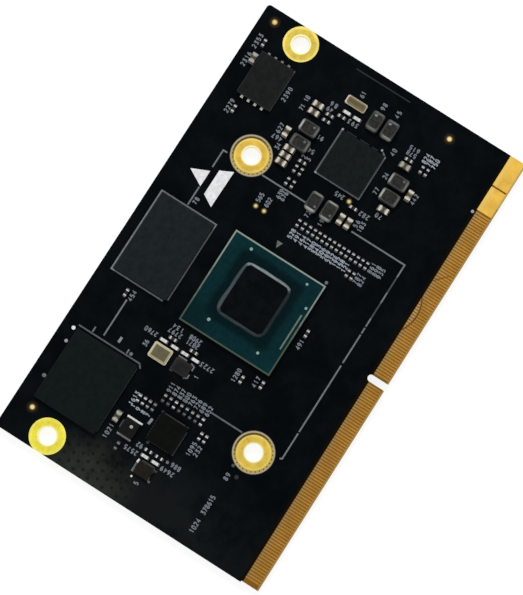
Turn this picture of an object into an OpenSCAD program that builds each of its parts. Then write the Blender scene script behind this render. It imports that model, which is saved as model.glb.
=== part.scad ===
// Card-edge processor board: one laminate card with chips on both faces.
// The parts stand on a placement grid, counted from the left side and from the contact edge.
// The grid spreads with the card, so the parts keep their order when its size changes.
// The origin is under the middle of the card, on the plane that its underside chips rest on.

/* [Card] */
// Length of the contact edge
board_w = 82; // [74:0.5:100]
// Depth from contact edge to rear edge
board_d = 50; // [45:0.5:70]
// Laminate thickness
board_t = 1.2; // [0.8:0.1:2]
// Radius of the rear left corner
corner_r_left = 1; // [0.3:0.1:2]
// Radius of the rear right corner
corner_r_right = 0.6; // [0.3:0.1:2]
// Thickness of copper and gold on the laminate
foil_t = 0.04; // [0.02:0.01:0.1]

/* [Contact edge] */
// Depth of the bare strip that carries the contacts
tab_d = 3.2; // [3:0.1:4]
// How far the strip is cut back at its left end
tab_inset = 0.25; // [0.1:0.05:0.6]
// Depth of the bevel, seen from above
bevel_d = 0.3; // [0.1:0.05:0.4]
// Height of the bevel on each face
bevel_h = 0.3; // [0.1:0.05:0.35]
// Distance between neighbouring contacts
contact_pitch = 0.5; // [0.5:0.05:1]
// Width of one contact
contact_w = 0.34; // [0.2:0.01:0.4]
// Length of the contacts
contact_l = 2.7; // [2:0.05:2.8]
// Bare end of the strip before the first contact
contact_margin = 0.5; // [0.3:0.05:2]
// Middle of the key slot, from the left side
key_x = 38.85; // [30:0.05:45]
// Width of the key slot
key_w = 1.3; // [1:0.05:2]
// Depth of the key slot to its round end
key_d = 3.5; // [3:0.05:6]
// Bare laminate on each side of the key slot
key_land = 0.3; // [0.2:0.05:1]
// Width of the outer power contact
outer_power_w = 5.7; // [3:0.05:6]
// Width of the inner power contact
inner_power_w = 4.55; // [3:0.05:6]
// Gap beside each power contact
power_gap = 0.3; // [0.2:0.05:0.6]

/* [Plated holes] */
// Clear diameter of the plated holes
hole_d = 3; // [2.4:0.1:3.4]
// Wall of the plated barrel
barrel_wall = 0.08; // [0.04:0.01:0.15]
// Diameter of the gold pad round each hole
pad_d = 6; // [4.5:0.1:6.6]
// Distance of the card fixing holes from the sides
fixing_inset = 2.9; // [2.5:0.05:3.5]
// Distance of the card fixing holes from the rear edge
fixing_rear = 8.1; // [7.5:0.1:9]
// Spacing of the heatsink holes along the card, about the processor
heatsink_dx = 40.6; // [36.5:0.1:41]
// Spacing of the heatsink holes across the card, about the processor
heatsink_dy = 26.3; // [24:0.1:27.5]

/* [Processor] */
// Side of the square processor substrate
soc_w = 17.3; // [14:0.1:18.4]
// Thickness of the substrate
soc_t = 0.6; // [0.4:0.05:1.2]
// Length of the bare die
die_w = 8.9; // [6:0.1:12]
// Depth of the bare die
die_d = 7.9; // [6:0.1:12]
// Height of the die above the substrate
die_t = 0.55; // [0.3:0.05:1]
// Shift of the die from the middle of the substrate
die_shift = 0.5; // [0:0.05:1]
// Width of the underfill bead round the die
bead_w = 0.6; // [0.2:0.05:1]
// Corner radius of the underfill bead
bead_r = 1.4; // [0.5:0.1:2]
// Height of the solder joints under the processor
soc_ball_h = 0.25; // [0.15:0.05:0.5]
// Spacing of the solder joints under the processor
soc_ball_pitch = 0.65; // [0.65:0.05:1.2]

/* [Memory and storage] */
// Length of the memory chip
memory_w = 14.6; // [12:0.1:14.6]
// Depth of the memory chip
memory_d = 10; // [8:0.1:10.1]
// Length of the storage chip
storage_w = 13; // [11:0.1:13.4]
// Depth of the storage chip
storage_d = 11.5; // [10:0.1:12]
// Body thickness of both chips
mould_t = 0.8; // [0.5:0.05:1.2]
// Height of their solder joints
ball_h = 0.2; // [0.1:0.05:0.4]
// Spacing of their solder joints
ball_pitch = 0.8; // [0.8:0.05:1.2]
// Diameter of one solder joint
ball_d = 0.42; // [0.3:0.02:0.5]
// Distance from a package side to its outer joints
ball_edge = 0.75; // [0.6:0.05:1.2]

/* [Flat packages] */
// Length of the flash chip
flash_w = 7.9; // [6:0.1:8.4]
// Depth of the flash chip
flash_d = 6.1; // [5.6:0.1:6.4]
// Side of the square power chip
power_w = 8; // [7:0.1:8.2]
// Side of the square network chip
network_w = 5; // [4:0.1:5.6]
// Side of the square chips on the underside
under_w = 7; // [5:0.1:9]
// Body thickness of the flat packages
flat_t = 0.85; // [0.6:0.05:1]
// Thickness of their soldered lands
land_t = 0.05; // [0.03:0.01:0.1]
// Width of one fine land
land_w = 0.26; // [0.15:0.01:0.28]
// Spacing of the fine lands
land_pitch = 0.5; // [0.4:0.05:0.65]
// Length of a land under the body
land_in = 0.4; // [0.2:0.05:0.6]
// Length of a land outside the body
land_out = 0.12; // [0.05:0.01:0.2]
// Length of a flash chip's land outside its body
flash_land_out = 0.45; // [0.1:0.05:0.5]
// Chamfer on the moulded bodies
mould_chamfer = 0.1; // [0.04:0.01:0.15]

/* [Crystals] */
// Length of the main and network crystals
crystal_l = 3.4; // [2.5:0.05:3.5]
// Width of the main and network crystals
crystal_w = 2.75; // [2:0.05:2.8]
// Length of the slim clock crystal
clock_l = 3.7; // [3:0.05:4]
// Width of the slim clock crystal
clock_w = 1.55; // [1.2:0.05:1.8]
// Height of a crystal's ceramic base
crystal_base_h = 0.35; // [0.2:0.05:0.6]
// Height of a crystal's metal lid
crystal_lid_h = 0.3; // [0.1:0.05:0.5]
// Rim of the base that the lid leaves bare
crystal_rim = 0.2; // [0.1:0.05:0.4]

/* [Coils] */
// Length of a supply coil over its metal end caps
coil_l = 3.2; // [2.5:0.05:3.3]
// Width of a supply coil
coil_w = 2.25; // [1.8:0.05:2.4]
// Height of a supply coil
coil_h = 1.2; // [0.8:0.05:1.35]
// Corner radius of a supply coil
coil_r = 0.5; // [0.1:0.05:0.6]
// Length of the metal cap on each end of a supply coil
coil_cap = 0.35; // [0.2:0.05:0.5]
// Chamfer on the top edges of the coils
coil_chamfer = 0.15; // [0.05:0.05:0.2]
// Width of the rim that stands round the winding window
coil_rim = 0.25; // [0.15:0.05:0.4]
// Depth of the winding window in a coil's top
coil_window_depth = 0.08; // [0.04:0.02:0.2]
// Length of the filter coil
filter_l = 2.9; // [2:0.05:3]
// Width of the filter coil
filter_w = 2.6; // [2:0.05:2.8]
// Height of the filter coil
filter_h = 0.95; // [0.6:0.05:1.1]
// Height of the filter coil's soldered feet
foot_h = 0.3; // [0.1:0.05:0.5]
// How far the filter coil's feet stand out
foot_out = 0.3; // [0.1:0.05:0.4]

/* [Small parts] */
// Length of a supply capacitor
cap_l = 1.65; // [1.4:0.05:1.8]
// Width of a supply capacitor
cap_w = 0.95; // [0.6:0.05:1]
// Height of a supply capacitor
cap_h = 0.8; // [0.4:0.05:1]
// Length of a small chip part
chip_l = 1.1; // [0.8:0.05:1.1]
// Width of a small chip part
chip_w = 0.5; // [0.3:0.05:0.6]
// Height of a small chip part
chip_h = 0.4; // [0.2:0.05:0.5]
// Share of a part's length that each metal end takes
end_share = 0.22; // [0.15:0.01:0.3]
// Solder fillet beyond each metal end
fillet_l = 0.22; // [0.05:0.01:0.25]
// Diameter of the alignment marks and test points
mark_d = 1; // [0.6:0.05:1.2]

/* [Hidden] */
arc_fn = 48;
slack = 1;
underside_z = flat_t + land_t;
top_z = underside_z + board_t;
die_top_z = top_z + soc_ball_h + soc_t + die_t;
ball_sides = 6;
chip_corner_r = 0.12;
fillet_climb = 0.8;
bead_climb = 0.85;
bead_slope = [0.8, 0.9];
pin_mark_d = 0.7;
pin_mark_depth = 0.04;
pin_mark_inset = 1;

// Number of placement steps along the card and across it
grid_count = [82, 50];

// Grid places of the larger parts
soc_place = [38.8, 25.65];
memory_place = [38.8, 42.7];
storage_place = [13.65, 41.45];
flash_place = [70.7, 43.5];
power_place = [66.6, 24.4];
network_place = [13.6, 25.9];
oscillator_place = [6.6, 25.85];
filter_place = [11.05, 31.5];
main_crystal_place = [23.9, 33.8];
network_crystal_place = [23.8, 29.75];
clock_crystal_place = [75.55, 28.9];
oscillator_size = [2.2, 2.8];
small_crystal_share = 0.86;

// Supply coils: place and turn
coil_places = [
    [65, 33.2, 90],
    [67.85, 33.2, 90],
    [58.05, 26.05, 0],
    [58.05, 23.2, 0],
    [74.65, 24.7, 0],
    [74.65, 21.95, 0],
    [65.25, 16.1, 90],
    [68.15, 16.15, 90]
];

// Supply capacitors: place and turn
cap_step = 1.28;
cap_places = [
    for (i = [0 : 2]) [60.75 + i * cap_step, 34.15, 90],
    for (x = [70.6, 72]) [x, 34.05, 90],
    for (i = [0 : 1]) [58.1, 19.5 + i * 1.4, 0],
    [65.5, 36.05, 0],
    [63.05, 15.85, 90],
    [71.05, 16.7, 90],
    [67.35, 13.55, 0],
    [11.65, 34.15, 0],
    [72.9, 47.2, 0]
];

// Load capacitors beside the crystals and the oscillator
load_places = [
    for (y = [28.4, 30.4, 32.35, 34.45]) [25.95, y, 90],
    for (y = [24.95, 26.9]) [8.6, y, 90],
    for (y = [27.45, 29.4]) [73.5, y, 90]
];

// Rows of small resistors on the left of the processor
left_row_pitch = 1.03;
left_pair_pitch = 0.93;
left_resistor_places = [
    for (i = [0 : 7]) [18.15, 22.15 + i * left_row_pitch, 0],
    for (i = [0 : 3]) [16, 30 + i * left_pair_pitch, 0],
    for (i = [0 : 1]) [16.1, 20.2 + i * left_pair_pitch, 0],
    for (i = [0 : 1]) [9.65, 24.85 + i * 2.05, 90],
    [7.65, 31.65, 0]
];

// Rows of small resistors on the right of the processor
right_row_pitch = 0.915;
right_resistor_places = [
    for (i = [0 : 11]) [53.85, 13.3 + i * right_row_pitch, 0],
    for (i = [0 : 2]) [53.85, 24.3 + i * left_row_pitch, 0],
    for (i = [0 : 1]) [51.2, 14.3 + i * right_row_pitch, 0],
    for (x = [58.7, 61.15], y = [30.55, 31.6]) [x, y, 0],
    for (y = [13.15, 14.1]) [72.1, y, 0]
];

// Single small parts: place and turn
single_places = [
    [62.65, 31.2, 90],
    [60.7, 20.15, 90],
    [72.45, 29.8, 90],
    [72.3, 16.7, 90],
    [71.6, 31.55, 90],
    [70.5, 31.55, 90],
    [64.1, 45.4, 0],
    [76, 47.1, 0],
    [29.2, 43.8, 0],
    [26.95, 33.35, 90],
    [26.95, 29.35, 90],
    [27.35, 20.45, 0],
    [28.35, 17.2, 0],
    [39.3, 15.55, 0]
];

// Alignment marks and test points
mark_places = [[5.55, 46.5], [79.9, 47.5], [78.9, 12.95]];
test_places = [[52.5, 33.75], [52.5, 32.15], [61.3, 21.3]];

// Underside chips, and the capacitor field under the processor
under_chip_places = [[14, 23], [68, 23], [41, 42]];
under_cap_count = [6, 5];
under_cap_pitch = [2.4, 2.2];

function from_left(p) = [p.x - board_w / 2, p.y - board_d / 2];
function from_right(p) = [board_w / 2 - p.x, p.y - board_d / 2];
function on_card(p) = [(p.x / grid_count.x - 0.5) * board_w, (p.y / grid_count.y - 0.5) * board_d];

// Puts its children on the upper face of the card, at a grid place
module on_top(place) {
    xy = on_card(place);
    translate([xy.x, xy.y, top_z])
        rotate(len(place) > 2 ? place[2] : 0)
            children();
}

// Hangs its children from the lower face of the card
module on_underside(xy) {
    translate([xy.x, xy.y, underside_z])
        mirror([0, 0, 1])
            children();
}

module rounded_rect(w, d, r) {
    square([w - 2 * r, d], center = true);
    square([w, d - 2 * r], center = true);
    for (sx = [-1, 1], sy = [-1, 1])
        translate([sx * (w / 2 - r), sy * (d / 2 - r)])
            circle(r = r, $fn = arc_fn);
}

// Upright profile whose two top corners are cut at a slope
module sloped_profile(w, h, run, rise) {
    over = slack * rise / run;
    polygon([
        [-w / 2 - slack, -slack - over],
        [w / 2 + slack, -slack - over],
        [w / 2 + slack, h - rise - over],
        [w / 2 - run, h],
        [-w / 2 + run, h],
        [-w / 2 - slack, h - rise - over]
    ]);
}

// Block with rounded upright edges and sloped top edges
module sloped_block(w, d, h, r, run, rise) {
    intersection() {
        linear_extrude(h)
            rounded_rect(w, d, r);
        rotate([90, 0, 0])
            linear_extrude(d + 2 * slack, center = true)
                sloped_profile(w, h, run, rise);
        rotate([90, 0, 90])
            linear_extrude(w + 2 * slack, center = true)
                sloped_profile(d, h, run, rise);
    }
}

module moulded_body(w, d, h) {
    sloped_block(w, d, h, chip_corner_r, mould_chamfer, mould_chamfer);
}

// Moulded body with the round pin 1 dimple in its top
module marked_body(w, d, h) {
    difference() {
        moulded_body(w, d, h);
        translate([-w / 2 + pin_mark_inset, d / 2 - pin_mark_inset, h - pin_mark_depth])
            cylinder(d = pin_mark_d, h = slack, $fn = arc_fn);
    }
}

// Outer row of solder joints under a package
module joint_row(w, d, pitch, h) {
    nx = floor((w - 2 * ball_edge) / pitch);
    ny = floor((d - 2 * ball_edge) / pitch);
    for (i = [0 : nx], j = [0 : ny])
        if (i == 0 || i == nx || j == 0 || j == ny)
            translate([(i - nx / 2) * pitch, (j - ny / 2) * pitch, 0])
                cylinder(d = ball_d, h = h, $fn = ball_sides);
}

// Soldered lands along two sides or all four sides of a flat package
module edge_lands(w, d, pitch, width, out, both_ways) {
    n = floor((d - 2 * land_in - 2 * width) / pitch);
    for (side = both_ways ? [0, 90, 180, 270] : [0, 180], i = [0 : n])
        rotate(side)
            translate([w / 2 - land_in, (i - n / 2) * pitch - width / 2, 0])
                cube([land_in + out, width, land_t]);
}

// Middle block of a two-ended chip part
module chip_middle(l, w, h) {
    translate([-l * (0.5 - end_share), -w / 2, 0])
        cube([l * (1 - 2 * end_share), w, h]);
}

// Two metal ends of a chip part, each with its solder fillet
module chip_ends(l, w, h) {
    for (side = [0, 180])
        rotate(side)
            rotate([90, 0, 0])
                linear_extrude(w, center = true)
                    polygon([
                        [l * (0.5 - end_share), 0],
                        [l / 2 + fillet_l, 0],
                        [l / 2, h * fillet_climb],
                        [l / 2, h],
                        [l * (0.5 - end_share), h]
                    ]);
}

// Rounds a corner when it is cut away: a square less a quarter disc
module corner_waste(r) {
    difference() {
        translate([-slack, -slack])
            square([r + slack, r + slack]);
        translate([r, r])
            circle(r = r, $fn = arc_fn);
        translate([r, -2 * slack])
            square([r + slack, r + 3 * slack]);
    }
}

module card_outline() {
    difference() {
        square([board_w, board_d], center = true);
        translate(from_left([0, board_d]))
            mirror([0, 1])
                corner_waste(corner_r_left);
        translate(from_right([0, board_d]))
            rotate(180)
                corner_waste(corner_r_right);
        translate(from_left([-slack, -slack]))
            square([tab_inset + slack, tab_d + slack]);
        translate(from_left([key_x - key_w / 2, -slack]))
            square([key_w, key_d - key_w / 2 + slack]);
        translate(from_left([key_x, key_d - key_w / 2]))
            circle(d = key_w, $fn = arc_fn);
    }
}

// Two wedges that bevel the contact edge, one for each face
module edge_bevels() {
    for (face = [0, 1])
        translate([0, -board_d / 2, face * board_t])
            mirror([0, 0, face])
                rotate([90, 0, 90])
                    linear_extrude(board_w + 2 * slack, center = true)
                        polygon([
                            [-slack, -slack],
                            [bevel_d * (1 + slack / bevel_h), -slack],
                            [0, bevel_h],
                            [-slack, bevel_h]
                        ]);
}

soc_xy = on_card(soc_place);
hole_xys = [
    from_left([fixing_inset, board_d - fixing_rear]),
    from_right([fixing_inset, board_d - fixing_rear]),
    soc_xy + [heatsink_dx, heatsink_dy] / 2,
    soc_xy - [heatsink_dx, heatsink_dy] / 2
];

module card() {
    color([0.06, 0.08, 0.08])
        translate([0, 0, underside_z])
            difference() {
                linear_extrude(board_t)
                    card_outline();
                edge_bevels();
                for (xy = hole_xys)
                    translate([xy.x, xy.y, -slack])
                        cylinder(d = hole_d + 2 * barrel_wall, h = board_t + 2 * slack, $fn = arc_fn);
            }
}

// Middles of the fine contacts, counted outwards from the key slot
contact_step0 = key_w / 2 + key_land + contact_w / 2;
power_zone = outer_power_w + inner_power_w + 2 * power_gap;
left_count = floor((key_x - contact_step0 - contact_w / 2 - tab_inset - contact_margin) / contact_pitch);
right_count = floor((board_w - power_zone - key_x - contact_step0 - contact_w / 2) / contact_pitch);
contact_xs = [
    for (i = [0 : left_count]) key_x - contact_step0 - i * contact_pitch,
    for (i = [0 : right_count]) key_x + contact_step0 + i * contact_pitch
];

module fine_contacts() {
    for (x = contact_xs)
        translate(from_left([x - contact_w / 2, bevel_d]))
            cube([contact_w, contact_l, foil_t]);
}

module power_contacts() {
    translate(from_right([outer_power_w, bevel_d]))
        cube([outer_power_w, contact_l, foil_t]);
    translate(from_right([outer_power_w + power_gap + inner_power_w, bevel_d]))
        cube([inner_power_w, contact_l, foil_t]);
}

module upper_contacts() {
    color("goldenrod")
        translate([0, 0, top_z])
            fine_contacts();
}

module lower_contacts() {
    color("goldenrod")
        translate([0, 0, underside_z - foil_t])
            fine_contacts();
}

module upper_power_contacts() {
    color("gold")
        translate([0, 0, top_z])
            power_contacts();
}

module lower_power_contacts() {
    color("gold")
        translate([0, 0, underside_z - foil_t])
            power_contacts();
}

// Plated barrel with a pad on each face, cut off at the card's sides
module plated_sleeve(xy) {
    hole_r = hole_d / 2;
    wall_r = hole_r + barrel_wall;
    color("gold")
        intersection() {
            translate([xy.x, xy.y, underside_z])
                rotate_extrude($fn = 2 * arc_fn)
                    polygon([
                        [hole_r, -foil_t],
                        [pad_d / 2, -foil_t],
                        [pad_d / 2, 0],
                        [wall_r, 0],
                        [wall_r, board_t],
                        [pad_d / 2, board_t],
                        [pad_d / 2, board_t + foil_t],
                        [hole_r, board_t + foil_t]
                    ]);
            translate([-board_w / 2, -board_d / 2, 0])
                cube([board_w, board_d, top_z + slack]);
        }
}

module gold_discs(places) {
    color("gold")
        for (place = places)
            on_top(place)
                cylinder(d = mark_d, h = foil_t, $fn = arc_fn);
}

module alignment_marks() {
    gold_discs(mark_places);
}

module test_points() {
    gold_discs(test_places);
}

module on_soc(lift) {
    on_top(soc_place)
        translate([0, 0, lift])
            children();
}

module processor_substrate() {
    color([0.03, 0.3, 0.33])
        on_soc(soc_ball_h)
            linear_extrude(soc_t)
                rounded_rect(soc_w, soc_w, chip_corner_r);
}

module die_block(over) {
    translate([die_shift - die_w / 2, -die_d / 2, 0])
        cube([die_w, die_d, die_t + over]);
}

module processor_die() {
    color([0.08, 0.08, 0.09])
        on_soc(soc_ball_h + soc_t)
            die_block(0);
}

// Bead that slopes from near the die's top edge down to the substrate
module processor_underfill() {
    bead_h = die_t * bead_climb;
    color([0.35, 0.37, 0.38])
        on_soc(soc_ball_h + soc_t)
            difference() {
                translate([die_shift, 0, 0])
                    sloped_block(die_w + 2 * bead_w, die_d + 2 * bead_w, bead_h, bead_r,
                        bead_w * bead_slope.x, bead_h * bead_slope.y);
                die_block(slack);
            }
}

module processor_solder_joints() {
    color("silver")
        on_soc(0)
            joint_row(soc_w, soc_w, soc_ball_pitch, soc_ball_h);
}

module memory_chip() {
    color([0.2, 0.21, 0.21])
        on_top(memory_place)
            translate([0, 0, ball_h])
                moulded_body(memory_w, memory_d, mould_t);
}

module memory_solder_joints() {
    color("silver")
        on_top(memory_place)
            joint_row(memory_w, memory_d, ball_pitch, ball_h);
}

module storage_chip() {
    color([0.14, 0.15, 0.15])
        on_top(storage_place)
            translate([0, 0, ball_h])
                moulded_body(storage_w, storage_d, mould_t);
}

module storage_solder_joints() {
    color("silver")
        on_top(storage_place)
            joint_row(storage_w, storage_d, ball_pitch, ball_h);
}

module flat_package(w, d) {
    translate([0, 0, land_t])
        marked_body(w, d, flat_t);
}

module flash_chip() {
    color([0.15, 0.15, 0.14])
        on_top(flash_place)
            flat_package(flash_w, flash_d);
}

module flash_lands() {
    flash_pitch = 1.27;
    flash_land_w = 0.45;
    color("silver")
        on_top(flash_place)
            edge_lands(flash_w, flash_d, flash_pitch, flash_land_w, flash_land_out, false);
}

module power_chip() {
    color([0.13, 0.14, 0.14])
        on_top(power_place)
            flat_package(power_w, power_w);
}

module power_chip_lands() {
    color("silver")
        on_top(power_place)
            edge_lands(power_w, power_w, land_pitch, land_w, land_out, true);
}

module network_chip() {
    color([0.12, 0.12, 0.11])
        on_top(network_place)
            flat_package(network_w, network_w);
}

module network_chip_lands() {
    color("silver")
        on_top(network_place)
            edge_lands(network_w, network_w, land_pitch, land_w, land_out, true);
}

// Ceramic base of a crystal with a quarter-round bite at each corner
module crystal_base(w, l) {
    bite_r = crystal_rim * 0.8;
    difference() {
        translate([-w / 2, -l / 2, 0])
            cube([w, l, crystal_base_h]);
        for (sx = [-1, 1], sy = [-1, 1])
            translate([sx * w / 2, sy * l / 2, -slack])
                cylinder(r = bite_r, h = crystal_base_h + 2 * slack, $fn = arc_fn);
    }
}

module crystal_lid(w, l) {
    translate([0, 0, crystal_base_h])
        sloped_block(w - 2 * crystal_rim, l - 2 * crystal_rim, crystal_lid_h,
            crystal_rim * 1.5, crystal_rim, crystal_lid_h / 2);
}

module main_crystal_base() {
    color([0.75, 0.7, 0.55])
        on_top(main_crystal_place)
            crystal_base(crystal_w, crystal_l);
}

module main_crystal_lid() {
    color([0.7, 0.63, 0.42])
        on_top(main_crystal_place)
            crystal_lid(crystal_w, crystal_l);
}

module network_crystal_base() {
    color([0.22, 0.2, 0.2])
        on_top(network_crystal_place)
            crystal_base(crystal_w * small_crystal_share, crystal_l * small_crystal_share);
}

module network_crystal_lid() {
    color([0.16, 0.14, 0.14])
        on_top(network_crystal_place)
            crystal_lid(crystal_w * small_crystal_share, crystal_l * small_crystal_share);
}

module clock_crystal_base() {
    color([0.85, 0.8, 0.7])
        on_top(clock_crystal_place)
            crystal_base(clock_w, clock_l);
}

module clock_crystal_lid() {
    color([0.7, 0.64, 0.5])
        on_top(clock_crystal_place)
            crystal_lid(clock_w, clock_l);
}

module oscillator_body() {
    color([0.17, 0.15, 0.13])
        on_top(oscillator_place)
            flat_package(oscillator_size.x, oscillator_size.y);
}

// Two wide lands at each end of the oscillator
module oscillator_lands() {
    land = [0.7, 0.6];
    step = [oscillator_size.x - land.x, oscillator_size.y + land_out - land.y] / 2;
    color("silver")
        on_top(oscillator_place)
            for (sx = [-1, 1], sy = [-1, 1])
                translate([sx * step.x, sy * step.y, 0])
                    linear_extrude(land_t)
                        square(land, center = true);
}

module coil_block(l, w, h) {
    sloped_block(l, w, h, coil_r, coil_chamfer, coil_chamfer);
}

// The stretch of a supply coil between its two metal caps
module coil_middle_zone() {
    cube([coil_l - 2 * coil_cap, coil_w + 2 * slack, 2 * coil_h + 2 * slack], center = true);
}

// Ferrite body between the caps, with the shallow winding window in its top
module coil_body() {
    difference() {
        intersection() {
            coil_block(coil_l, coil_w, coil_h);
            coil_middle_zone();
        }
        translate([0, 0, coil_h - coil_window_depth])
            linear_extrude(slack)
                rounded_rect(coil_l - 2 * coil_cap - coil_rim, coil_w - 2 * coil_rim, coil_r);
    }
}

// Two metal caps that take the rounded ends of a supply coil
module coil_caps() {
    difference() {
        coil_block(coil_l, coil_w, coil_h);
        coil_middle_zone();
    }
}

module filter_coil_body() {
    color([0.2, 0.18, 0.17])
        on_top(filter_place)
            coil_block(filter_l, filter_w, filter_h);
}

// Two feet that stand against the filter coil's ends
module filter_coil_feet() {
    color("silver")
        on_top(filter_place)
            for (side = [0, 180])
                rotate(side)
                    translate([filter_l / 2, -filter_w / 2, 0])
                        cube([foot_out, filter_w, foot_h]);
}

module supply_coil(i) {
    place = coil_places[i];
    color([0.27, 0.27, 0.26])
        on_top(place)
            coil_body();
}

module coil_feet() {
    color("silver")
        for (place = coil_places)
            on_top(place)
                coil_caps();
}

module supply_capacitor_bodies() {
    color([0.55, 0.45, 0.33])
        for (place = cap_places)
            on_top(place)
                chip_middle(cap_l, cap_w, cap_h);
}

module supply_capacitor_ends() {
    color("whitesmoke")
        for (place = cap_places)
            on_top(place)
                chip_ends(cap_l, cap_w, cap_h);
}

module load_parts() {
    for (place = load_places)
        on_top(place)
            children();
}

module load_capacitor_bodies() {
    color([0.85, 0.83, 0.78])
        load_parts()
            chip_middle(chip_l, chip_w, chip_h);
}

module load_capacitor_ends() {
    color("whitesmoke")
        load_parts()
            chip_ends(chip_l, chip_w, chip_h);
}

module left_parts() {
    for (place = left_resistor_places)
        on_top(place)
            children();
}

module left_resistor_bodies() {
    color([0.1, 0.1, 0.1])
        left_parts()
            chip_middle(chip_l, chip_w, chip_h);
}

module left_resistor_ends() {
    color("silver")
        left_parts()
            chip_ends(chip_l, chip_w, chip_h);
}

module right_parts() {
    for (place = right_resistor_places)
        on_top(place)
            children();
}

module right_resistor_bodies() {
    color([0.1, 0.1, 0.1])
        right_parts()
            chip_middle(chip_l, chip_w, chip_h);
}

module right_resistor_ends() {
    color("silver")
        right_parts()
            chip_ends(chip_l, chip_w, chip_h);
}

module single_parts() {
    for (place = single_places)
        on_top(place)
            children();
}

module single_part_bodies() {
    color([0.3, 0.25, 0.2])
        single_parts()
            chip_middle(chip_l, chip_w, chip_h);
}

module single_part_ends() {
    color("silver")
        single_parts()
            chip_ends(chip_l, chip_w, chip_h);
}

module underside_chip(i) {
    color([0.12, 0.12, 0.12])
        on_underside(on_card(under_chip_places[i]))
            flat_package(under_w, under_w);
}

module underside_chip_lands() {
    color("silver")
        for (place = under_chip_places)
            on_underside(on_card(place))
                edge_lands(under_w, under_w, land_pitch, land_w, land_out, true);
}

// Field of small capacitors straight under the processor
module underside_field() {
    for (i = [0 : under_cap_count.x - 1], j = [0 : under_cap_count.y - 1])
        on_underside(soc_xy + [
            (i - (under_cap_count.x - 1) / 2) * under_cap_pitch.x,
            (j - (under_cap_count.y - 1) / 2) * under_cap_pitch.y
        ])
            children();
}

module underside_capacitor_bodies() {
    color([0.55, 0.45, 0.33])
        underside_field()
            chip_middle(chip_l, chip_w, chip_h);
}

module underside_capacitor_ends() {
    color("silver")
        underside_field()
            chip_ends(chip_l, chip_w, chip_h);
}

card();
upper_contacts();
lower_contacts();
upper_power_contacts();
lower_power_contacts();
plated_sleeve(hole_xys[0]);  // left_fixing_sleeve
plated_sleeve(hole_xys[1]);  // right_fixing_sleeve
plated_sleeve(hole_xys[2]);  // rear_heatsink_sleeve
plated_sleeve(hole_xys[3]);  // front_heatsink_sleeve
alignment_marks();
test_points();
processor_substrate();
processor_die();
processor_underfill();
processor_solder_joints();
memory_chip();
memory_solder_joints();
storage_chip();
storage_solder_joints();
flash_chip();
flash_lands();
power_chip();
power_chip_lands();
network_chip();
network_chip_lands();
main_crystal_base();
main_crystal_lid();
network_crystal_base();
network_crystal_lid();
clock_crystal_base();
clock_crystal_lid();
oscillator_body();
oscillator_lands();
filter_coil_body();
filter_coil_feet();
supply_coil(0);  // rear_coil_left
supply_coil(1);  // rear_coil_right
supply_coil(2);  // inner_coil_rear
supply_coil(3);  // inner_coil_front
supply_coil(4);  // outer_coil_rear
supply_coil(5);  // outer_coil_front
supply_coil(6);  // front_coil_left
supply_coil(7);  // front_coil_right
coil_feet();
supply_capacitor_bodies();
supply_capacitor_ends();
load_capacitor_bodies();
load_capacitor_ends();
left_resistor_bodies();
left_resistor_ends();
right_resistor_bodies();
right_resistor_ends();
single_part_bodies();
single_part_ends();
underside_chip(0);  // underside_left_chip
underside_chip(1);  // underside_right_chip
underside_chip(2);  // underside_rear_chip
underside_chip_lands();
underside_capacitor_bodies();
underside_capacitor_ends();
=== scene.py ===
import math
import bpy
import numpy as np
from mathutils import Matrix, Vector


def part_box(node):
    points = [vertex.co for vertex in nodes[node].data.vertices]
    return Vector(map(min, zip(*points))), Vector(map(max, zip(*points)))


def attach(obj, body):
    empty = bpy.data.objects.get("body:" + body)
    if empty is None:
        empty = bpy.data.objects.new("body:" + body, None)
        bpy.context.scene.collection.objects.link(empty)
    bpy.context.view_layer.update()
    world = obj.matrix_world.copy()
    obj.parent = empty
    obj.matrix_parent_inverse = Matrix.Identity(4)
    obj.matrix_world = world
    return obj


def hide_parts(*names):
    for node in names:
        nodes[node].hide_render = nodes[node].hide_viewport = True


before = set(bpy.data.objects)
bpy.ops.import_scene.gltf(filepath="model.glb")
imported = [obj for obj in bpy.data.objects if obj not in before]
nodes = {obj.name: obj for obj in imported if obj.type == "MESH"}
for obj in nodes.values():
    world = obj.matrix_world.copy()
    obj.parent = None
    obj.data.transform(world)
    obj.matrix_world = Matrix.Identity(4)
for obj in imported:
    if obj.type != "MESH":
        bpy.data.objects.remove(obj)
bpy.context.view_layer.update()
print("frame loaded:", len(nodes), "nodes")

mm = 0.001
planMiddle = np.array((41.0, 25.0))     # plan places are counted from the left side and the contact edge, mm
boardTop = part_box("card")[1].z / mm
inkHeight = 0.014
inkSink = 0.004                         # how far printed pieces are set into what carries them
inkLow, inkHigh = boardTop - inkSink, boardTop + inkHeight


def newObject(name, data):
    # linked into the scene
    thing = bpy.data.objects.new(name, data)
    bpy.context.scene.collection.objects.link(thing)
    return thing


# camera

cameraView = {
    "target": (-0.6527, -0.1008, 2.1),   # point of the card in the middle of the picture, mm
    "distance": 300.0,
    "tilt": 5.4539,                      # degrees off straight down
    "azimuth": 204.0207,
    "roll": 302.5630,                    # turn of the picture about the view line
    "focalPixels": 1848.89,
    "pixelsHigh": 595,
    "sensorHeight": 24.0,
}


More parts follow.
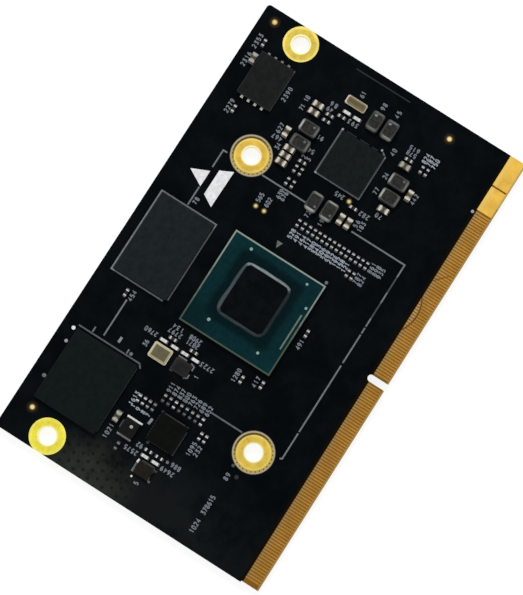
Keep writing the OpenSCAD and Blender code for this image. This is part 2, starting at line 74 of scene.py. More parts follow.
def placeCamera(view):
    tilt, azimuth, roll = (math.radians(view[k]) for k in ("tilt", "azimuth", "roll"))
    back = Vector((math.sin(tilt) * math.cos(azimuth), math.sin(tilt) * math.sin(azimuth), math.cos(tilt)))
    across = Vector((math.cos(roll), math.sin(roll), 0))
    across = (across - back * across.dot(back)).normalized()
    up = back.cross(across)
    place = (Vector(view["target"]) + back * view["distance"]) * mm
    data = bpy.data.cameras.new("card_camera")
    data.sensor_fit = "VERTICAL"
    data.sensor_height = view["sensorHeight"]
    data.sensor_width = view["sensorHeight"]
    data.lens = view["focalPixels"] * view["sensorHeight"] / view["pixelsHigh"]
    data.clip_start = 0.01
    camera = newObject("card_camera", data)
    camera.matrix_world = Matrix.Translation(place) @ Matrix((across, up, back)).transposed().to_4x4()
    bpy.context.scene.camera = camera


placeCamera(cameraView)
print("camera placed")


# shader helpers

def paint(red, green, blue):
    # sRGB 0 to 255 as the linear colour that a shader takes
    channels = np.array((red, green, blue)) / 255
    linear = np.where(channels <= 0.04045, channels / 12.92, ((channels + 0.055) / 1.055) ** 2.4)
    return tuple(linear.tolist())


def times(colour, factor):
    return tuple(min(1.0, c * factor) for c in colour)


def plug(socket, value):
    if isinstance(value, bpy.types.NodeSocket):
        socket.id_data.links.new(value, socket)
    elif socket.type == "RGBA":
        socket.default_value = (*value, 1)
    else:
        socket.default_value = value


def addNode(kind, inputs, tree=None, **settings):
    # into the tree that is given, or else that of the first linked input
    tree = tree or next(v for v in inputs.values() if isinstance(v, bpy.types.NodeSocket)).id_data
    node = tree.nodes.new("ShaderNode" + kind)
    for key, value in settings.items():
        setattr(node, key, value)
    for key, value in inputs.items():
        plug(node.inputs[key], value)
    return node


def sums(operation, first, second=0.0, third=0.0):
    return addNode("Math", {0: first, 1: second, 2: third}, operation=operation).outputs[0]


def both(first, second):
    return sums("MULTIPLY", first, second)


def line(value, slope, start):
    # a straight line: slope times the value, plus the start
    return sums("MULTIPLY_ADD", value, slope, start)


def ease(value, low, high):
    # 0 below low, 1 above high, smooth between; low may be above high
    inputs = {"Value": value, "From Min": min(low, high), "From Max": max(low, high),
              "To Min": float(low > high), "To Max": float(low <= high)}
    return addNode("MapRange", inputs, interpolation_type="SMOOTHSTEP").outputs["Result"]


def stepAt(value, edge, half):
    # rises about the edge, or falls where half is below 0
    return ease(value, edge - half, edge + half)


def within(value, low, high, soft):
    # 1 between low and high, with a soft step at each end
    return both(stepAt(value, low, soft), stepAt(value, high, -soft))


def blend(share, first, second, mode="MIX"):
    return addNode("Mix", {0: share, 6: first, 7: second}, data_type="RGBA", blend_type=mode).outputs[2]


def tinted(shade, share, level, tone):
    return blend(both(share, level), shade, tone)


def noise(place, scale, detail=3.0, roughness=0.55):
    inputs = {"Vector": place, "Scale": scale, "Detail": detail, "Roughness": roughness}
    return addNode("TexNoise", inputs).outputs["Fac"]


def bands(place, scale, direction, distortion=0.0, detailScale=1.0):
    inputs = {"Vector": place, "Scale": scale, "Distortion": distortion,
              "Detail": 1.0, "Detail Scale": detailScale}
    return addNode("TexWave", inputs, bands_direction=direction).outputs["Fac"]


def turned(place, move=(0, 0, 0), angle=0.0, scale=(1, 1, 1)):
    inputs = {"Vector": place, "Location": move, "Rotation": (0, 0, math.radians(angle)), "Scale": scale}
    return addNode("Mapping", inputs).outputs[0]


def vectors(operation, first, second=(0, 0, 0)):
    node = addNode("VectorMath", {0: first, 1: second}, operation=operation)
    return node.outputs["Value" if operation == "LENGTH" else "Vector"]


def split(vector):
    return addNode("SeparateXYZ", {0: vector}).outputs


def fromSpot(place, spot=(0, 0), unit=(1, 1)):
    # the flat offset from a plan place, in mm or in other lengths along and across the card
    move = (planMiddle - np.array(spot)) / unit
    scale = 1 / (np.array(unit) * mm)
    return turned(place, (*move, 0), 0, (*scale, 0))


def farFrom(place, spot):
    return vectors("LENGTH", fromSpot(place, spot))


def farFromBox(place, spot, half):
    # distance outside a rectangle: the length of what is left of |offset| past each half side
    past = vectors("SUBTRACT", vectors("ABSOLUTE", fromSpot(place, spot)), (*half, 0))
    return vectors("LENGTH", vectors("MAXIMUM", past))


def farFromGrid(place, spot, pitch):
    # distance from the nearest point of a grid: the offset's fraction of a step, less a half
    steps = vectors("DIVIDE", fromSpot(place, spot), (*pitch, 1))
    part = vectors("SUBTRACT", vectors("FRACTION", steps), (0.5, 0.5, 0))
    return vectors("LENGTH", vectors("MULTIPLY", part, (*pitch, 0)))


def nearSpots(place, spots, reach, soft=0.15):
    # the highest of the spots' levels, each of which falls away about the reach
    share = 0.0
    for x, y, level in spots:
        near = stepAt(farFrom(place, (x, y)), reach, -soft * reach)
        share = sums("MAXIMUM", share, both(near, level))
    return share


def mottled(place, shade, scale, depth):
    # darker patches: the colour goes down by the depth where the noise is low
    low = ease(noise(place, scale, 4, 0.65), 0.62, 0.38)
    return blend(low, shade, (1 - depth,) * 3, "MULTIPLY")


def upness(place):
    # how far the face looks straight up or down: 1 flat, 0 upright
    geometry = addNode("NewGeometry", {}, place.id_data)
    return sums("ABSOLUTE", split(geometry.outputs["Normal"])[2])


def bump(height, strength, distance=0.00001, under=None):
    node = addNode("Bump", {"Height": height, "Strength": strength, "Distance": distance})
    if under:
        plug(node.inputs["Normal"], under)
    return node.outputs[0]


def newFinish(name, metal=0.0, specular=0.5):
    material = bpy.data.materials.new(name)
    material.use_nodes = True
    shader = material.node_tree.nodes["Principled BSDF"]
    shader.inputs["Metallic"].default_value = metal
    shader.inputs["Specular IOR Level"].default_value = specular
    return material, shader, addNode("TexCoord", {}, material.node_tree).outputs["Object"]


def setSurface(shader, colour, rough, normal):
    for key, value in (("Base Color", colour), ("Roughness", rough), ("Normal", normal)):
        plug(shader.inputs[key], value)


def grainyFinish(name, look):
    # patches of lighter and darker colour, a fine grain, a tone painted on sloped edges for the light
    # they catch, and other tones at given places; the look's colours are sRGB 0 to 255
    material, shader, place = newFinish(name, look.get("metal", 0.0), look.get("specular", 0.5))
    colour = paint(*look["colour"])
    spread = look.get("spread", 0.15)
    patches = noise(place, look.get("patch", 900), 4)
    shade = blend(ease(patches, 0.3, 0.7), times(colour, 1 - spread), times(colour, 1 + spread))
    grain = noise(place, look.get("grain", 12000), 2, 0.6)
    if "speckle" in look:
        shade = tinted(shade, ease(grain, 0.55, 0.75), look["speckle"], times(colour, 2.2))
    # on the gold marks, the test points and the coil caps this tone is a painted highlight
    if "tint" in look:       # another tone over part of the piece
        near = nearSpots(place, look["tintSpots"], look["tintReach"], look.get("tintSoft", 0.15))
        shade = blend(near, shade, paint(*look["tint"]))
    if "rim" in look:        # and another on what stands above a height
        raised = ease(split(place)[2], look["rimFrom"] * mm, look["rimTo"] * mm)
        shade = blend(raised, shade, paint(*look["rim"]))
    # painted light by slope: a painted highlight where the edge tone is paler, a painted reflection of the
    # dark board where it is darker
    if "edge" in look:
        sloped = ease(upness(place), look.get("edgeFrom", 0.97), look.get("edgeTo", 0.8))
        shade = tinted(shade, sloped, look.get("edgeShare", 0.7), paint(*look["edge"]))
    rough = look.get("rough", 0.5)
    roughSpread = look.get("roughSpread", 0.08)
    setSurface(shader, shade, line(patches, 2 * roughSpread, rough - roughSpread),
               bump(grain, look.get("bump", 0.15), 0.00002))
    return material


def dress(material, *names):
    for name in names:
        slots = nodes[name].data.materials
        slots.clear()
        slots.append(material)


def dressEach(looks, ending, shared):
    for name, look in looks.items():
        dress(grainyFinish(name + ending, {**shared, **look}), name)


# mesh helpers, in mm on the card's plan

def addPiece(name, parts, material, smooth=False):
    # joins (points, faces) parts into one object
    points, faces, start = [], [], 0
    for partPoints, partFaces in parts:
        points.append(partPoints)
        faces.extend([[i + start for i in face] for face in partFaces])
        start += len(partPoints)
    points = np.vstack(points).astype(float)
    points[:, :2] -= planMiddle
    mesh = bpy.data.meshes.new(name)
    mesh.from_pydata((points * mm).tolist(), [], faces)
    mesh.validate()
    if smooth:
        mesh.polygons.foreach_set("use_smooth", [True] * len(mesh.polygons))
    mesh.materials.append(material)
    piece = newObject(name, mesh)
    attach(piece, "root")
    return piece


def unitRows(rows):
    # each row divided by its length
    return rows / np.maximum(np.linalg.norm(rows, axis=1, keepdims=True), 1e-9)


square = np.array(((-1, -1), (1, -1), (1, 1), (-1, 1)))     # corners, anticlockwise


def fullTurn(count, start=0.0):
    # the angles of equal steps once round
    return np.arange(count) * 2 * math.pi / count + start


def headings(angle):
    # the cosine and sine of each angle
    return np.column_stack((np.cos(angle), np.sin(angle)))


def gridSolid(grid, closed=True):
    # faces over a grid whose rows are rings: the last row joins the first one, or else both are capped
    rows, columns = grid.shape[:2]
    row, column = np.meshgrid(np.arange(rows if closed else rows - 1), np.arange(columns), indexing="ij")
    nextRow, nextColumn = (row + 1) % rows, (column + 1) % columns
    faces = np.stack((row * columns + column, nextRow * columns + column,
                      nextRow * columns + nextColumn, row * columns + nextColumn), -1).reshape(-1, 4).tolist()
    if not closed:
        last = (rows - 1) * columns
        faces += [list(range(columns)), list(range(last + columns - 1, last - 1, -1))]
    return grid.reshape(-1, 3), faces


def ribbon(path, width, low=inkLow, high=inkHigh, closed=False):
    # a printed line, thickest along its middle: the section's corners are offset from each path
    # point by half the width, along the mean of the two normals there
    path = np.reshape(path, (-1, 2)).astype(float)
    ahead, behind = np.roll(path, -1, 0), np.roll(path, 1, 0)
    if not closed:
        ahead[-1] = 2 * path[-1] - path[-2]
        behind[0] = 2 * path[0] - path[1]
    inward, outward = unitRows(path - behind), unitRows(ahead - path)
    normalIn = np.column_stack((-inward[:, 1], inward[:, 0]))
    normalOut = np.column_stack((-outward[:, 1], outward[:, 0]))
    mitre = unitRows(normalIn + normalOut)
    reach = width / 2 / np.clip((mitre * normalIn).sum(1, keepdims=True), 0.5, 1)
    shoulder = low + 0.6 * (high - low)
    section = np.array(((1, low), (-1, low), (-1, shoulder), (0, high), (1, shoulder)))
    flat = path[:, None, :] + (mitre * reach)[:, None, :] * section[None, :, :1]
    rings = np.concatenate((flat, np.broadcast_to(section[None, :, 1:], flat.shape[:2] + (1,))), -1)
    return gridSolid(rings, closed)


def slab(outline, low=inkLow, high=inkHigh):
    # a straight-sided plate over an outline that runs anticlockwise
    outline = np.reshape(outline, (-1, 2))
    rings = [np.column_stack((outline, np.full(len(outline), level))) for level in (high, low)]
    return gridSolid(np.array(rings), closed=False)


def discs(spots, low, high, sides=16):
    # low round posts over circles of points; a spot is a middle and a radius
    circle = headings(fullTurn(sides))
    return [slab(np.array((x, y)) + radius * circle, low, high) for x, y, radius in spots]


def ringSolid(centre, profile, sides=96):
    # a closed profile of (radius, height) points, run once round a centre
    radius, height = np.array(profile).T
    flat = np.array(centre) + radius[:, None] * headings(fullTurn(sides))[:, None, :]
    return gridSolid(np.dstack((flat, np.broadcast_to(height, flat.shape[:2]))))


def onPlan(name):
    # the middle of a CAD node as a plan place
    low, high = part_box(name)
    return np.array(((low.x + high.x) / 2, (low.y + high.y) / 2)) / mm + planMiddle


# card

cardLook = {
    "mask": paint(4, 8, 11), "maskLight": paint(10, 14, 18),
    "trace": paint(24, 30, 34), "traceShare": 0.1, "tracePitch": 700,
    "leftTone": paint(22, 25, 26), "leftPlace": (0, 22), "leftReach": (16, 30),
    "glareTone": paint(46, 48, 43), "glarePlace": (1.0, 33.3), "glareReach": (7.8, 10.2),
    "viaStart": (1.5, 36.9), "viaPitch": (1.5, 2.74), "viaSize": 0.26, "viaShare": 0.6,
    "laminate": paint(136, 92, 32), "weavePitch": 1600, "edge": paint(74, 72, 64),
    "bevel": paint(185, 150, 86), "powerBevel": paint(216, 186, 116), "powerFrom": 73.2,
    # the colour at the mask's end is a painted shade line
    "maskEnd": 3.42, "stripEnd": 2.92, "maskEndShade": paint(21, 13, 2),
}


def litPatch(place, look, key, clouds):
    # an oval that fades out towards its reach along and across the card, broken up by the clouds
    offset = fromSpot(place, look[key + "Place"], look[key + "Reach"])
    return both(ease(vectors("LENGTH", offset), 1.0, 0.2), ease(clouds, 0.15, 0.6))


def makeCardFinish(look):
    material, shader, place = newFinish("card_mask", specular=0.012)
    across, height = split(fromSpot(place))[:2]         # from the left side and the contact edge
    flat = upness(place)
    clouds = noise(place, 260, 5, 0.6)
    shade = blend(ease(clouds, 0.35, 0.7), look["mask"], look["maskLight"])
    # copper under the mask: fine runs of traces in a few areas
    runs = ease(bands(turned(place, angle=28), look["tracePitch"], "Y", 5.0, 0.12), 0.5, 0.8)
    traces = both(runs, ease(noise(place, 110, 2, 0.5), 0.5, 0.6))
    shade = tinted(shade, traces, look["traceShare"], look["trace"])
    # the left margin, where light catches the copper round staggered rows of filled vias
    shade = blend(litPatch(place, look, "left", clouds), shade, look["leftTone"])
    start, pitch = np.array(look["viaStart"]), np.array(look["viaPitch"])
    fromVia = sums("MINIMUM", farFromGrid(place, start - pitch / 2, pitch), farFromGrid(place, start, pitch))
    vias = ease(fromVia, look["viaSize"] + 0.16, look["viaSize"] - 0.12)
    glare = tinted(look["glareTone"], vias, look["viaShare"], look["mask"])
    shade = blend(litPatch(place, look, "glare", clouds), shade, glare)
    # the painted shade line along the mask's end, the bare strip, the cut edges and the bevel
    shade = blend(stepAt(height, look["maskEnd"], -0.06), shade, look["maskEndShade"])
    weave = ease(bands(place, look["weavePitch"], "X"), 0.2, 0.8)
    strip = tinted(look["laminate"], weave, 0.3, times(look["laminate"], 0.6))
    shade = blend(stepAt(height, look["stripEnd"], -0.03), shade, strip)
    layers = ease(bands(place, 1300, "Z", 2.0), 0.3, 0.7)
    glass = blend(layers, look["edge"], times(look["edge"], 0.6))
    shade = blend(ease(flat, 0.5, 0.3), shade, glass)
    bevel = blend(ease(across, look["powerFrom"], look["powerFrom"] + 0.2), look["bevel"], look["powerBevel"])
    shade = blend(within(flat, 0.45, 0.9, 0.05), shade, bevel)
    setSurface(shader, shade, line(clouds, 0.2, 0.34),
               bump(noise(place, 2600, 2, 0.5), 0.12, under=bump(traces, 0.3)))
    return material


dress(makeCardFinish(cardLook), "card")
print("card dressed")


# gold

goldLook = {
    "fingers": paint(174, 127, 56), "power": paint(224, 180, 78),
    "leftPad": paint(253, 239, 83), "rightPad": paint(198, 177, 79),
    "rearPad": paint(212, 179, 80), "frontPad": paint(234, 203, 88),
    "holeShine": paint(255, 247, 196), "fleck": (0.86, 0.66, 0.34), "pale": paint(255, 240, 160),
    "headFrom": 1.75, "headTo": 2.5, "turnMarks": 60.0,
    # towards their inner ends the contacts turn paler, and then the mask laps over them, shown in the painted
    # shade line's colour
    "endFrom": 2.0, "endTo": 2.55, "fingerEnd": paint(158, 128, 78), "powerEnd": paint(220, 184, 96),
    "lapShadeFrom": 2.86, "lapShadeTo": 2.98,
    # marks that a connector has pressed and rubbed into the contact strip
    "pressPlace": (51.3, 7.9), "pressRadius": 5.87,
    "pressLine": paint(84, 56, 22), "pressPale": paint(196, 172, 120),
    "scratchPlace": (58.7, 1.92), "scratchTurn": 43.0, "scratchHalf": 1.6, "scratch": paint(108, 76, 34),
}


def pressMarks(place, shade, look):
    # a thin arc with a paler side, and one fine scratch
    radius, arc = farFrom(place, look["pressPlace"]), look["pressRadius"]
    shade = tinted(shade, ease(radius, arc - 0.1, arc - 0.25), 0.25, look["pressPale"])
    shade = tinted(shade, within(radius, arc - 0.11, arc + 0.11, 0.05), 0.9, look["pressLine"])
    along, across = split(turned(fromSpot(place, look["scratchPlace"]), angle=look["scratchTurn"]))[:2]
    half = look["scratchHalf"]
    scratch = both(within(across, -0.1, 0.1, 0.05), within(along, -half, half, 0.2))
    return tinted(shade, scratch, 0.8, look["scratch"])


def screwMarks(place, shade, radius, colour, look):
    # flecks and a darker ring where a screw head has pressed, a paler edge and a bright hole
    low, high = look["headFrom"], look["headTo"]
    flecks = both(ease(noise(place, 1300, 3, 0.6), 0.52, 0.64), within(radius, low, high + 0.1, 0.2))
    shade = blend(both(flecks, 0.7), shade, look["fleck"], "MULTIPLY")
    shade = mottled(place, shade, 1100, 0.08)
    shade = tinted(shade, ease(radius, high, high + 0.25), 0.22, look["pale"])
    shade = tinted(shade, within(radius, low, high, 0.12), 0.3, times(colour, 0.78))
    return tinted(shade, ease(radius, low + 0.05, low - 0.2), 0.7, look["holeShine"])


def makeGold(name, tone, rough, look, streakScale=0, endTone=None, ringPlace=None, pressed=False):
    material, shader, place = newFinish(name, metal=1.0)
    colour = look[tone]
    stain = noise(place, 420, 4, 0.6)
    fine = noise(place, 9000, 2, 0.6)
    shade = blend(ease(stain, 0.3, 0.75), times(colour, 0.9), times(colour, 1.07))
    shade = tinted(shade, ease(fine, 0.58, 0.72), 0.25, times(colour, 0.6))
    height = fine
    if streakScale:      # rub marks from the connector's springs, along the contacts
        streaks = noise(turned(place, scale=(1, 0.06, 1)), streakScale, 2, 0.6)
        shade = tinted(shade, ease(streaks, 0.5, 0.75), 0.3, times(colour, 0.65))
        height = sums("ADD", fine, streaks)
    if endTone:
        along = split(fromSpot(place))[1]
        shade = blend(ease(along, look["endFrom"], look["endTo"]), shade, look[endTone])
    if ringPlace is not None:
        radius = farFrom(place, ringPlace)
        shade = screwMarks(place, shade, radius, colour, look)
        height = line(sums("SINE", both(radius, look["turnMarks"])), 0.15, fine)    # faint turned rings
    if pressed:
        shade = pressMarks(place, shade, look)
        # painted shade where the mask laps over the contacts
        shade = blend(ease(along, look["lapShadeFrom"], look["lapShadeTo"]), shade, cardLook["maskEndShade"])
    setSurface(shader, shade, line(stain, 0.16, rough), bump(height, 0.12))
    return material


dress(makeGold("contact_gold", "fingers", 0.3, goldLook, 2600, "fingerEnd", pressed=True), "upper_contacts")
dress(makeGold("lower_contact_gold", "fingers", 0.3, goldLook, 2600, "fingerEnd"), "lower_contacts")
dress(makeGold("power_gold", "power", 0.3, goldLook, 1500, "powerEnd"),
      "upper_power_contacts", "lower_power_contacts")
for sleeve, tone in (("left_fixing_sleeve", "leftPad"), ("right_fixing_sleeve", "rightPad"),
                     ("rear_heatsink_sleeve", "rearPad"), ("front_heatsink_sleeve", "frontPad")):
    dress(makeGold(sleeve.replace("sleeve", "gold"), tone, 0.28, goldLook, ringPlace=onPlan(sleeve)), sleeve)
markPlaces = [(5.55, 46.5), (79.9, 47.5), (78.9, 12.95)]
testPlaces = [(52.5, 33.75), (52.5, 32.15), (61.3, 21.3)]
roundGold = {
    # the tint in the middle of each mark and test point is a painted highlight
    "alignment_marks": {
        "colour": (134, 106, 40), "tint": (252, 238, 184), "tintReach": 0.33,
        "tintSpots": [(*place, level) for place, level in zip(markPlaces, (1.0, 0.6, 0.95))]},
    "test_points": {
        "colour": (88, 72, 26), "tint": (228, 214, 156), "tintReach": 0.27,
        "tintSpots": [(*place, 1.0) for place in testPlaces]},
}
dressEach(roundGold, "_gold", {"metal": 1.0, "rough": 0.25, "spread": 0.08, "tintSoft": 0.5})
print("gold dressed")


# rims round the heatsink pads, each with a printed ring and a circle of vias

rimLook = {
    "inner": 2.85, "padEdge": 3.0, "outer": 3.58, "overPad": 0.04,
    "gapDark": paint(92, 74, 36), "gapGold": paint(190, 164, 78),
    "ring": paint(178, 166, 134), "ringFrom": 3.24, "ringTo": 3.5, "fade": paint(48, 44, 34),
    "vias": 28, "viaPlace": 3.1, "viaSize": 0.12, "viaLow": 0.02, "viaHigh": 0.05,
    "viaColour": (72, 56, 26),
}
viaFinish = grainyFinish("pad_vias", {"colour": rimLook["viaColour"], "specular": 0.2, "rough": 0.5})


def makeRimTone(name, centre, look):
    material, shader, place = newFinish(name, specular=0.15)
    radius = line(noise(place, 1400), 0.06, farFrom(place, centre))
    x, y = split(fromSpot(place, centre))[:2]
    away = ease(sums("ADD", x, y), -1.0, 3.5)       # the gap is darkest at the rear right
    gap = blend(away, look["gapGold"], look["gapDark"])
    shade = blend(stepAt(radius, look["ringFrom"], 0.06), gap, look["ring"])
    shade = blend(stepAt(radius, look["ringTo"], 0.06), shade, look["fade"])
    setSurface(shader, shade, 0.45, bump(noise(place, 6000), 0.15))
    return material


def makePadRim(name, look):
    # a low ring that laps over the pad's edge: the profile's radius and height, once round
    centre = onPlan(name + "_heatsink_sleeve")
    over = boardTop + look["overPad"]
    edge, outer, inner = look["padEdge"], look["outer"], look["inner"]
    profile = [(inner, over - inkSink), (edge + 0.01, over - inkSink), (edge + 0.01, inkLow), (outer, inkLow),
               (outer - 0.12, boardTop + 0.02), (edge + 0.06, over + 0.008), (edge - 0.06, over + 0.02),
               (inner + 0.03, over + 0.014)]
    tone = makeRimTone(name + "_rim_tone", centre, look)
    addPiece(name + "_pad_rim", [ringSolid(centre, profile)], tone)
    places = centre + look["viaPlace"] * headings(fullTurn(look["vias"], 0.2))
    spots = [(*place, look["viaSize"]) for place in places]
    vias = discs(spots, boardTop + look["viaLow"], boardTop + look["viaHigh"], sides=10)
    addPiece(name + "_pad_vias", vias, viaFinish)


makePadRim("rear", rimLook)
makePadRim("front", rimLook)

surroundLook = {"inner": 0.51, "outer": 1.12, "colour": paint(62, 46, 16), "reach": 0.72, "soft": 0.4}


def makeSurroundTone(look):
    # the bare ring is warm beside the mark and fades into the mask
    material, shader, place = newFinish("bare_ring", specular=0.03)
    near = nearSpots(place, [(*spot, 1.0) for spot in markPlaces], look["reach"], look["soft"])
    shade = blend(near, cardLook["maskLight"], times(look["colour"], 0.8))
    shade = tinted(shade, ease(noise(place, 2600), 0.2, 0.8), near, look["colour"])
    setSurface(shader, shade, 0.6, bump(noise(place, 6000), 0.15))
    return material


inner, outer, top = surroundLook["inner"], surroundLook["outer"], boardTop + 0.01
surround = [(inner, inkLow), (outer, inkLow), (outer - 0.04, top), (inner + 0.02, top)]
addPiece("mark_surrounds", [ringSolid(place, surround, 40) for place in markPlaces],
         makeSurroundTone(surroundLook))
print("pad rims made")


# printed lines and spots

def inkFinish(name, tone, spread):
    return grainyFinish(name, {"colour": tone, "spread": spread, "patch": 2200, "grain": 16000,
                               "specular": 0.05, "rough": 0.6, "bump": 0.2})


inkTones = {
    "plain": (114, 119, 122), "soft": (98, 103, 106), "dim": (72, 78, 80), "faint": (45, 49, 49),
    "strong": (127, 132, 136), "bar": (136, 142, 142), "corner": (160, 164, 168), "bright": (232, 234, 236),
}
inks = {kind: inkFinish(kind + "_ink", tone, 0.12) for kind, tone in inkTones.items()}
numberInk = inkFinish("number_ink", (120, 127, 135), 0.2)
rowInk = inkFinish("row_ink", (150, 158, 167), 0.2)

lineLook = {
    "width": {"plain": 0.26, "soft": 0.26, "dim": 0.24, "faint": 0.2, "strong": 0.26, "bar": 0.45,
              "bright": 0.34},
    # each path is x and y of one point after another
    "plain": [
        (19.95, 8.45, 20.15, 8.1, 24.95, 8.1), (25.25, 8.1, 37.95, 8.1), (38.45, 8.1, 43.9, 8.1),
        (44.15, 8.1, 45.2, 8.1), (45.45, 8.1, 47.0, 8.1), (50.0, 8.1, 52.0, 8.1),
        (55.0, 8.1, 57.35, 8.1, 57.35, 18.35), (57.35, 27.1, 57.35, 35.6), (21.4, 43.1, 28.3, 43.1),
        (46.7, 43.2, 50.2, 43.2), (54.1, 43.15, 57.4, 43.15, 57.4, 42.4),
        (46.42, 48.13, 46.42, 37.5, 31.75, 37.5), (62.57, 20.2, 70.75, 20.2), (70.8, 20.45, 71.15, 20.95),
        (20.95, 44.96, 21.9, 44.96), (20.95, 38.4, 21.7, 38.4), (5.5, 27.5, 7.1, 27.5),
        (25.2, 29.5, 25.2, 31.1), (22.5, 28.6, 22.85, 28.0, 23.5, 28.0),
        (24.2, 28.0, 24.95, 28.0, 25.2, 28.7),
    ],
    "soft": [
        (20.25, 15.8, 20.25, 21.7), (62.57, 28.6, 70.9, 28.6), (20.7, 47.4, 20.7, 35.75, 20.05, 35.2),
    ],
    "strong": [(62.44, 20.07, 62.44, 28.73), (31.25, 38.1, 31.25, 48.0, 46.29, 48.0)],
    "faint": [
        (80.6, 21.6, 80.6, 32.0), (70.95, 27.8, 70.95, 25.9), (70.95, 25.2, 70.95, 23.5),
        (70.95, 22.9, 70.95, 21.8),
    ],
    "dim": [
        (47.0, 8.1, 50.0, 8.1), (52.0, 8.1, 55.0, 8.1), (7.8, 35.7, 19.8, 35.7), (66.9, 40.3, 74.8, 40.3),
        (10.4, 32.95, 11.8, 32.95), (11.0, 23.3, 15.5, 23.3), (16.15, 24.1, 16.15, 27.9),
        (7.85, 24.6, 7.85, 26.9), (22.5, 30.6, 22.5, 31.2), (9.35, 30.2, 9.35, 32.6),
    ],
    "bar": [(13.25, 29.3, 14.35, 29.15), (21.75, 40.5, 22.75, 40.45)],
    "bright": [(7.15, 27.5, 7.8, 27.4), (12.65, 30.0, 12.65, 32.7)],
}
for kind, width in lineLook["width"].items():
    addPiece("legend_lines_" + kind, [ribbon(path, width) for path in lineLook[kind]], inks[kind])

spotLook = {
    "bright": [(19.85, 47.9, 0.33), (4.8, 27.05, 0.17)],
    "corner": [(71.35, 21.25, 0.2), (70.88, 28.55, 0.2), (62.46, 28.56, 0.19), (17.45, 47.75, 0.29),
               (70.8, 3.45, 0.27)],
    "plain": [(48.05, 17.3, 0.28), (9.75, 23.35, 0.26), (5.5, 24.2, 0.22), (21.25, 37.75, 0.3),
              (10.85, 47.7, 0.34)],
    "dim": [(10.75, 27.75, 0.26), (7.5, 24.1, 0.18), (15.0, 14.15, 0.28)],
    "faint": [(16.2, 28.35, 0.26), (16.1, 23.6, 0.26), (13.7, 12.7, 0.36)],
}
spotHigh = inkHigh + 0.004      # spots stand a little above lines
for kind, spots in spotLook.items():
    addPiece("legend_spots_" + kind, discs(spots, inkLow, spotHigh), inks[kind])

# two plain shapes and a pointer
shapeLook = {
    "upper": (50.35, 43.1, 53.35, 43.1, 52.0, 46.1),
    "lower": (48.4, 39.8, 55.3, 39.7, 54.2, 41.9, 49.6, 41.9),
    "pointer": (48.45, 27.25, 49.65, 26.7, 49.65, 27.75), "pointerTone": (104, 108, 106),
}
addPiece("plain_shape_mark", [slab(shapeLook[key]) for key in ("upper", "lower")], inks["bright"])
addPiece("pointer_mark", [slab(shapeLook["pointer"])],
         inkFinish("pointer_ink", shapeLook["pointerTone"], 0.2))

# plotted digits: one pen path each on a box 60 wide and 100 high, x and y in turn, closed for 0 and 8
digitPaths = {
    "0": (15, 0, 45, 0, 60, 20, 60, 80, 45, 100, 15, 100, 0, 80, 0, 20),
    "1": (10, 75, 34, 100, 34, 0),
    "2": (0, 80, 15, 100, 45, 100, 60, 80, 58, 58, 0, 0, 60, 0),
    "3": (0, 100, 58, 100, 26, 60, 46, 58, 60, 40, 60, 18, 45, 0, 15, 0, 0, 16),
    "4": (46, 0, 46, 100, 0, 30, 62, 30),
    "5": (58, 100, 6, 100, 3, 56, 42, 60, 60, 42, 60, 18, 44, 0, 14, 0, 0, 14),
    "6": (52, 100, 20, 86, 0, 50, 0, 20, 15, 0, 45, 0, 60, 20, 60, 38, 45, 56, 10, 50),
    "7": (0, 100, 60, 100, 20, 0),
    "8": (30, 53, 2, 70, 2, 86, 15, 100, 45, 100, 58, 86, 58, 70,
          30, 53, 0, 34, 0, 15, 15, 0, 45, 0, 60, 15, 60, 34),
    "9": (8, 0, 40, 14, 60, 50, 60, 80, 45, 100, 15, 100, 0, 80, 0, 62, 15, 44, 50, 50),
}
